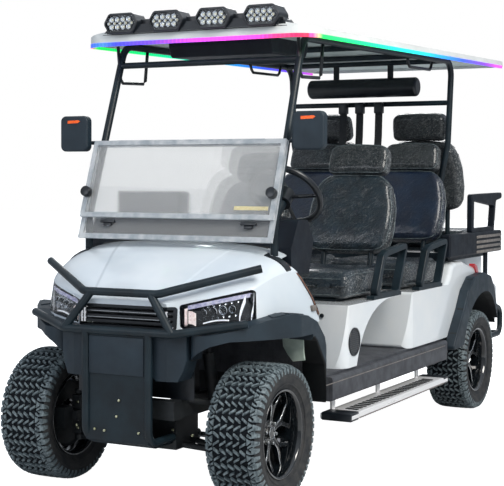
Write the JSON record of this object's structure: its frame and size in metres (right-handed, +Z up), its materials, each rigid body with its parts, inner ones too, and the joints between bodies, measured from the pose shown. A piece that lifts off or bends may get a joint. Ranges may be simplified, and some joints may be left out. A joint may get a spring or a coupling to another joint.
{
  "type": "golf cart",
  "caption": "Lifted six-seat golf cart with a long canopy, folding windshield, brush guard, running boards, side armrests and a rear-facing seat over a fold-out deck.",
  "frame": {"origin": "centre of the bounding box at ground level", "axes": "+Z up, the nose points to -Y, the driver's left is +X"},
  "size_m": [1.41, 3.8, 2.1355],
  "materials": {
    "tyre_rubber": "matte black tread rubber",
    "rim_black": "gloss black paint with bright machined spoke edges",
    "frame_black": "satin black powder coat",
    "suspension_steel": "satin black paint on steel",
    "bright_steel": "bare turned steel",
    "board_aluminium": "brushed aluminium with a ribbed black tread strip",
    "body_white": "cool white gloss moulding",
    "trim_black": "grained dark slate plastic",
    "floor_mat": "ribbed black floor mat",
    "lamp_lens": "clear lens",
    "lamp_reflector": "bright reflector",
    "screen_clear": "clear acrylic sheet",
    "seat_leather": "very dark blue vinyl under a clear wrinkled film",
    "roof_white": "white gloss moulding",
    "roof_grey": "grey-green ceiling moulding",
    "red_lens": "red lamp lens",
    "battery_case": "plain black case"
  },
  "bodies": {
    "root": {"front_suspension": "suspension_steel", "shock_absorbers": "suspension_steel", "chassis_frame": "frame_black", "rear_axle": "suspension_steel", "motor": "frame_black", "battery": "battery_case", "steering_column": "frame_black", "floor_pan": "floor_mat", "running_boards": "board_aluminium", "hood": "body_white", "headlight_lenses": "lamp_lens", "headlight_housings": "lamp_reflector", "grille": "trim_black", "front_bumper": "trim_black", "wheel_flares": "trim_black", "brush_guard": "frame_black", "canopy_frame": "frame_black", "windshield_lower_frame": "screen_clear", "windshield_lower_glass": "screen_clear", "dashboard": "trim_black", "mirrors": "trim_black", "roof_shell": "roof_white", "roof_liner": "roof_grey", "roof_console": "trim_black", "light_bar": "trim_black", "sound_bar": "trim_black", "front_seat_base": "body_white", "rear_body": "body_white", "tail_lights": "red_lens", "seat_box": "trim_black", "seat_frames": "frame_black", "seat_cushions": "seat_leather", "seat_backs": "seat_leather", "rear_armrests": "trim_black", "rear_step": "frame_black"},
    "knuckle_left": {"knuckle_left": "suspension_steel"},
    "knuckle_right": {"knuckle_right": "suspension_steel"},
    "wheel_front_left": {"tyre_front_left": "tyre_rubber", "rim_front_left": "rim_black"},
    "wheel_front_right": {"tyre_front_right": "tyre_rubber", "rim_front_right": "rim_black"},
    "wheel_rear_left": {"tyre_rear_left": "tyre_rubber", "rim_rear_left": "rim_black"},
    "wheel_rear_right": {"tyre_rear_right": "tyre_rubber", "rim_rear_right": "rim_black"},
    "steering_rack": {"steering_rack": "bright_steel"},
    "steering_wheel": {"steering_wheel": "trim_black"},
    "windshield_upper": {"windshield_upper_frame": "screen_clear", "windshield_upper_glass": "screen_clear"},
    "rear_seat": {"rear_seat_cushion": "seat_leather"}
  },
  "joints": [
    {"name": "front_left_steer", "type": "hinge", "parent": "root", "child": "knuckle_left", "pos_m": [0.4, -1.57, 0.292], "axis": [0, 0, 1], "range_deg": [-28, 28]},
    {"name": "front_right_steer", "type": "hinge", "parent": "root", "child": "knuckle_right", "pos_m": [-0.4, -1.57, 0.292], "axis": [0, 0, 1], "range_deg": [-28, 28]},
    {"name": "front_left_spin", "type": "hinge", "parent": "knuckle_left", "child": "wheel_front_left", "pos_m": [0.51, -1.57, 0.292], "axis": [1, 0, 0], "continuous": true},
    {"name": "front_right_spin", "type": "hinge", "parent": "knuckle_right", "child": "wheel_front_right", "pos_m": [-0.51, -1.57, 0.292], "axis": [1, 0, 0], "continuous": true},
    {"name": "rear_left_spin", "type": "hinge", "parent": "root", "child": "wheel_rear_left", "pos_m": [0.51, 1.05, 0.292], "axis": [1, 0, 0], "continuous": true},
    {"name": "rear_right_spin", "type": "hinge", "parent": "root", "child": "wheel_rear_right", "pos_m": [-0.51, 1.05, 0.292], "axis": [1, 0, 0], "continuous": true},
    {"name": "rack_slide", "type": "slide", "parent": "root", "child": "steering_rack", "axis": [1, 0, 0], "range_m": [-0.05, 0.05]},
    {"name": "wheel_turn", "type": "hinge", "parent": "root", "child": "steering_wheel", "pos_m": [0.32, -0.96, 1.27], "axis": [0, 0.7431, 0.6691], "range_deg": [-450, 450]},
    {"name": "windshield_fold", "type": "hinge", "parent": "root", "child": "windshield_upper", "pos_m": [0, -1.29601, 1.51428], "axis": [-1, 0, 0], "range_deg": [0, 170]},
    {"name": "rear_seat_fold", "type": "hinge", "parent": "root", "child": "rear_seat", "pos_m": [0, 1.496, 0.9373], "axis": [-1, 0, 0], "range_deg": [0, 178]}
  ],
  "couplings": [
    {"joint": "front_left_steer", "follows": "wheel_turn", "ratio": 0.062222},
    {"joint": "front_right_steer", "follows": "wheel_turn", "ratio": 0.062222},
    {"joint": "rack_slide", "follows": "wheel_turn", "m_per_rad": -0.0063}
  ]
}
